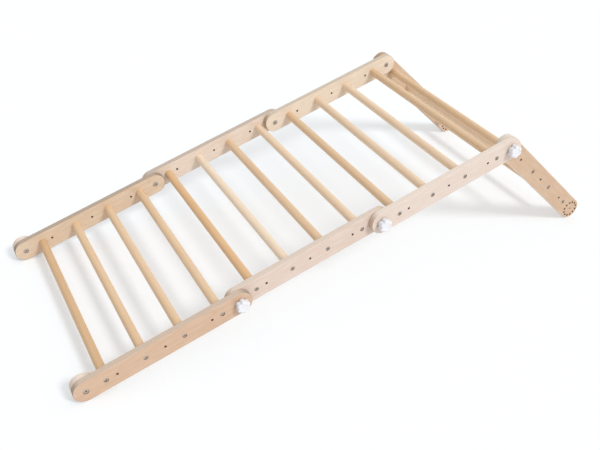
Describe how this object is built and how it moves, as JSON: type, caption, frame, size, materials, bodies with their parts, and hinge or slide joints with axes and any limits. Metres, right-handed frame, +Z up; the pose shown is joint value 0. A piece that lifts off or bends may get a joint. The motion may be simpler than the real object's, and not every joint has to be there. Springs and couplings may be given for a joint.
{
  "type": "folding climbing triangle",
  "caption": "Folding wooden climbing frame for small children: ladder panels pinned end to end with index rings and grip knobs, set as a long ramp with a folded leg.",
  "frame": {"origin": "on the floor, midway between the ramp's foot and the leg's foot and between the two sides", "axes": "+X along the floor from the ramp's foot towards the leg, +Z up, -Y towards the side that the picture shows nearest"},
  "size_m": [1.6524, 0.7296, 0.383],
  "materials": {
    "plywood": "satin lacquer over birch plywood",
    "beech": "satin lacquer over turned beech",
    "steel": "bright zinc plate",
    "white_plastic": "moulded, fine satin"
  },
  "bodies": {
    "panel_a": {"rail_a_near": "plywood", "rail_a_far": "plywood", "rung_a1": "beech", "rung_a2": "beech", "rung_a3": "beech", "rung_a4": "beech", "rung_screws_a": "steel", "index_pins_a_near": "steel", "index_pins_a_far": "steel", "foot_disc_near": "plywood", "foot_disc_far": "plywood", "foot_bolt_near": "steel", "foot_bolt_far": "steel", "foot_nut_near": "steel", "foot_nut_far": "steel", "pivot_bolt_ab_far": "steel"},
    "panel_b": {"rail_b_near": "plywood", "rail_b_far": "plywood", "rung_b1": "beech", "rung_b2": "beech", "rung_b3": "beech", "rung_b4": "beech", "rung_screws_b": "steel", "pivot_bolt_ab_near": "steel", "pivot_bolt_bc_near": "steel"},
    "panel_c": {"rail_c_near": "plywood", "rail_c_far": "plywood", "rung_c1": "beech", "rung_c2": "beech", "rung_c3": "beech", "rung_c4": "beech", "rung_screws_c": "steel", "index_pins_c_near": "steel", "index_pins_c_far": "steel", "pivot_bolt_bc_far": "steel", "pivot_bolt_cd_far": "steel"},
    "panel_d": {"rail_d_near": "plywood", "rail_d_far": "plywood", "rung_d1": "beech", "rung_d2": "beech", "rung_d3": "beech", "rung_d4": "beech", "rung_screws_d": "steel", "pivot_bolt_cd_near": "steel"},
    "knob_ab_near": {"knob_ab_near": "white_plastic"},
    "knob_ab_far": {"knob_ab_far": "white_plastic"},
    "knob_bc_near": {"knob_bc_near": "white_plastic"},
    "knob_bc_far": {"knob_bc_far": "white_plastic"},
    "knob_cd_near": {"knob_cd_near": "white_plastic"},
    "knob_cd_far": {"knob_cd_far": "white_plastic"}
  },
  "joints": [
    {"name": "hinge_ab", "type": "hinge", "parent": "panel_a", "child": "panel_b", "pos_m": [-0.3661, 0, 0.13869], "axis": [0, 1, 0], "range_deg": [-120, 120]},
    {"name": "hinge_bc", "type": "hinge", "parent": "panel_b", "child": "panel_c", "pos_m": [0.06102, 0, 0.24437], "axis": [0, -1, 0], "range_deg": [-120, 120]},
    {"name": "hinge_cd", "type": "hinge", "parent": "panel_c", "child": "panel_d", "pos_m": [0.48814, 0, 0.35005], "axis": [0, 1, 0], "range_deg": [-180, 60]},
    {"name": "turn_ab_near", "type": "hinge", "parent": "panel_b", "child": "knob_ab_near", "pos_m": [-0.3661, -0.3548, 0.13869], "axis": [0, -1, 0], "continuous": true},
    {"name": "turn_ab_far", "type": "hinge", "parent": "panel_a", "child": "knob_ab_far", "pos_m": [-0.3661, 0.3548, 0.13869], "axis": [0, 1, 0], "continuous": true},
    {"name": "turn_bc_near", "type": "hinge", "parent": "panel_b", "child": "knob_bc_near", "pos_m": [0.06102, -0.3548, 0.24437], "axis": [0, -1, 0], "continuous": true},
    {"name": "turn_bc_far", "type": "hinge", "parent": "panel_c", "child": "knob_bc_far", "pos_m": [0.06102, 0.3548, 0.24437], "axis": [0, 1, 0], "continuous": true},
    {"name": "turn_cd_near", "type": "hinge", "parent": "panel_d", "child": "knob_cd_near", "pos_m": [0.48814, -0.3548, 0.35005], "axis": [0, -1, 0], "continuous": true},
    {"name": "turn_cd_far", "type": "hinge", "parent": "panel_c", "child": "knob_cd_far", "pos_m": [0.48814, 0.3548, 0.35005], "axis": [0, 1, 0], "continuous": true}
  ]
}
